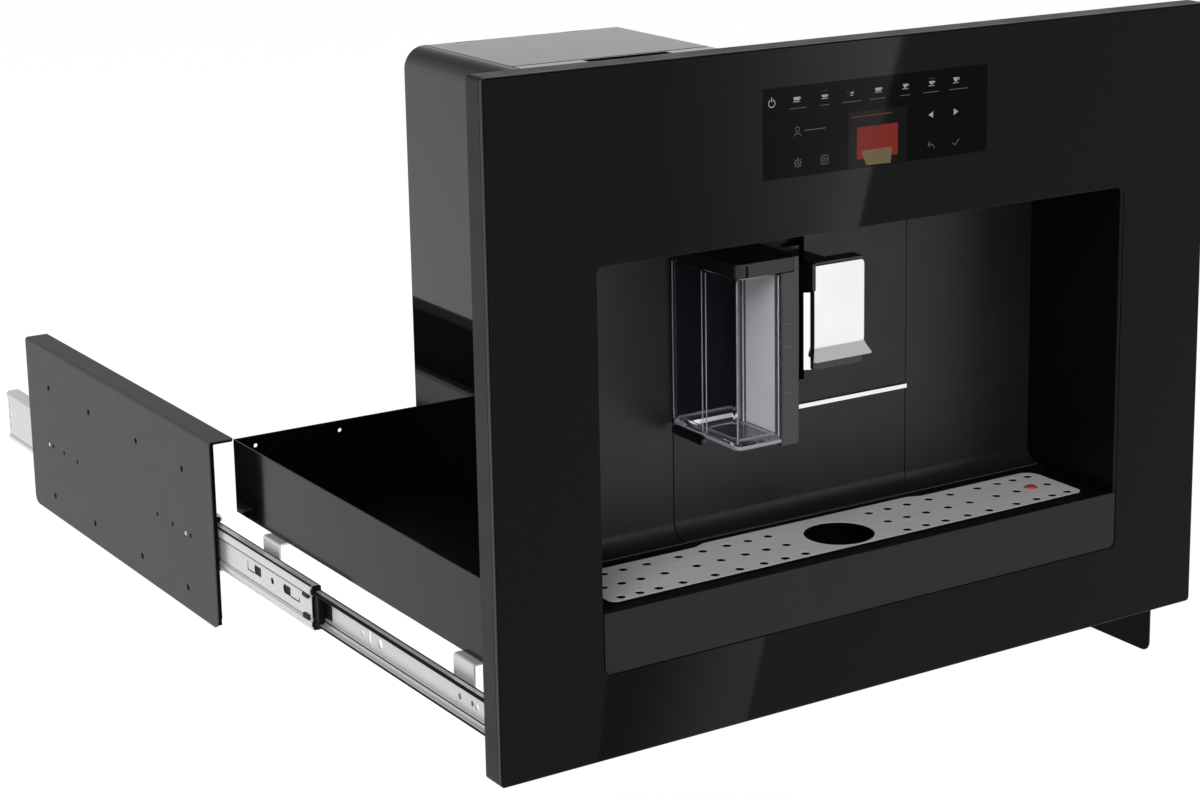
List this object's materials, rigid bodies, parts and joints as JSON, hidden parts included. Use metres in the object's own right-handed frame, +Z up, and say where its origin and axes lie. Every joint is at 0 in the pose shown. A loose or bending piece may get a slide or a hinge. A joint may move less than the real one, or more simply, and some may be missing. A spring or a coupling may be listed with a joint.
{
  "type": "built-in coffee machine",
  "caption": "Built-in coffee machine with glass front, serving niche, milk carafe and drip drawer, carried by a steel tray on telescopic side slides.",
  "frame": {"origin": "on the back plane of the front panel, midway between its sides, 20 mm above its bottom edge", "axes": "+X to the right seen from the front, +Y to the back, +Z up"},
  "size_m": [0.595, 0.948, 0.5],
  "materials": {
    "panel_glass": "gloss",
    "frame_plastic": "satin",
    "niche_plastic": "satin",
    "gloss_black": "gloss",
    "black_plastic": "satin",
    "grey_plastic": "satin",
    "sheet_paint": "satin",
    "zinc": "bright",
    "steel": "brushed",
    "chrome": "polished",
    "clear_plastic": "clear",
    "smoked_plastic": "clear",
    "red_plastic": "gloss",
    "circuit_board": "satin",
    "display": "gloss",
    "cast_metal": "satin",
    "brass": "satin"
  },
  "bodies": {
    "machine": {"front_glass": "panel_glass", "panel_frame": "frame_plastic", "display_screen": "display", "control_board": "circuit_board", "niche_liner": "niche_plastic", "back_panel_left": "niche_plastic", "back_panel_right": "niche_plastic", "centre_panel": "niche_plastic", "trim_strip": "chrome", "spout_guide": "black_plastic", "milk_port": "cast_metal", "housing_shell_left": "gloss_black", "housing_shell_right": "gloss_black", "front_cover": "sheet_paint", "top_cover": "gloss_black", "rear_cover": "sheet_paint", "power_inlet": "black_plastic", "base_plate": "cast_metal", "spine_plate": "cast_metal", "grinder_motor": "cast_metal", "outer_burr": "steel", "grinder_case": "black_plastic", "bean_hopper": "smoked_plastic", "brew_frame": "black_plastic", "heater": "cast_metal", "water_pump": "black_plastic", "power_board": "circuit_board", "tank_seat": "black_plastic", "carrier_tray": "sheet_paint", "left_inner_rail": "zinc", "left_hanger_front": "zinc", "left_hanger_rear": "zinc", "right_inner_rail": "zinc", "right_hanger_front": "zinc", "right_hanger_rear": "zinc"},
    "bean_lid": {"hopper_lid": "gloss_black"},
    "spout": {"spout_cover": "chrome", "spout_head": "black_plastic", "spout_sleeve": "chrome", "spout_carriage": "black_plastic"},
    "drip_drawer": {"drip_drawer_front": "niche_plastic", "drip_tray": "black_plastic"},
    "grille": {"cup_grille": "steel"},
    "float": {"float_indicator": "red_plastic"},
    "grounds_drawer": {"grounds_container": "niche_plastic"},
    "carafe": {"carafe_body": "clear_plastic", "carafe_column": "grey_plastic", "carafe_foot": "black_plastic"},
    "carafe_cap": {"carafe_lid": "black_plastic"},
    "tank": {"water_tank": "smoked_plastic"},
    "tank_cap": {"tank_lid": "black_plastic"},
    "piston": {"brew_piston": "brass"},
    "burr": {"inner_burr": "steel"},
    "left_middle": {"left_middle_rail": "zinc"},
    "left_plate": {"left_outer_rail": "zinc", "left_mount_plate": "sheet_paint"},
    "right_middle": {"right_middle_rail": "zinc"},
    "right_plate": {"right_outer_rail": "zinc", "right_mount_plate": "sheet_paint"}
  },
  "joints": [
    {"name": "bean_lid_hinge", "type": "hinge", "parent": "machine", "child": "bean_lid", "pos_m": [0, 0.4582, 0.3785], "axis": [-1, 0, 0], "range_deg": [0, 80]},
    {"name": "spout_slide", "type": "slide", "parent": "machine", "child": "spout", "axis": [0, 0, 1], "range_m": [-0.06, 0.03]},
    {"name": "drip_drawer_slide", "type": "slide", "parent": "machine", "child": "drip_drawer", "axis": [0, -1, 0], "range_m": [0, 0.12]},
    {"name": "grille_lift", "type": "slide", "parent": "drip_drawer", "child": "grille", "axis": [0, 0, 1], "range_m": [0, 0.05]},
    {"name": "float_rise", "type": "slide", "parent": "drip_drawer", "child": "float", "axis": [0, 0, 1], "range_m": [0, 0.012]},
    {"name": "grounds_drawer_slide", "type": "slide", "parent": "machine", "child": "grounds_drawer", "axis": [0, -1, 0], "range_m": [0, 0.074]},
    {"name": "carafe_dock_slide", "type": "slide", "parent": "machine", "child": "carafe", "axis": [0, -1, 0], "range_m": [0, 0.12]},
    {"name": "carafe_cap_lift", "type": "slide", "parent": "carafe", "child": "carafe_cap", "axis": [0, 0, 1], "range_m": [0, 0.016]},
    {"name": "tank_lift", "type": "slide", "parent": "machine", "child": "tank", "axis": [0, 0, 1], "range_m": [0, 0.28]},
    {"name": "tank_cap_lift", "type": "slide", "parent": "tank", "child": "tank_cap", "axis": [0, 0, 1], "range_m": [0, 0.04]},
    {"name": "piston_stroke", "type": "slide", "parent": "machine", "child": "piston", "axis": [0, 0, 1], "range_m": [0, 0.04]},
    {"name": "burr_spin", "type": "hinge", "parent": "machine", "child": "burr", "pos_m": [0, 0.388, 0.19], "axis": [0, 0, 1], "continuous": true},
    {"name": "left_middle_slide", "type": "slide", "parent": "machine", "child": "left_middle", "axis": [0, 1, 0], "range_m": [-0.23, 0]},
    {"name": "left_plate_slide", "type": "slide", "parent": "left_middle", "child": "left_plate", "axis": [0, 1, 0], "range_m": [-0.23, 0]},
    {"name": "right_middle_slide", "type": "slide", "parent": "machine", "child": "right_middle", "axis": [0, 1, 0], "range_m": [0, 0.23]},
    {"name": "right_plate_slide", "type": "slide", "parent": "right_middle", "child": "right_plate", "axis": [0, 1, 0], "range_m": [0, 0.23]}
  ],
  "couplings": [
    {"joint": "left_plate_slide", "follows": "left_middle_slide", "ratio": 1},
    {"joint": "right_plate_slide", "follows": "right_middle_slide", "ratio": 1}
  ]
}
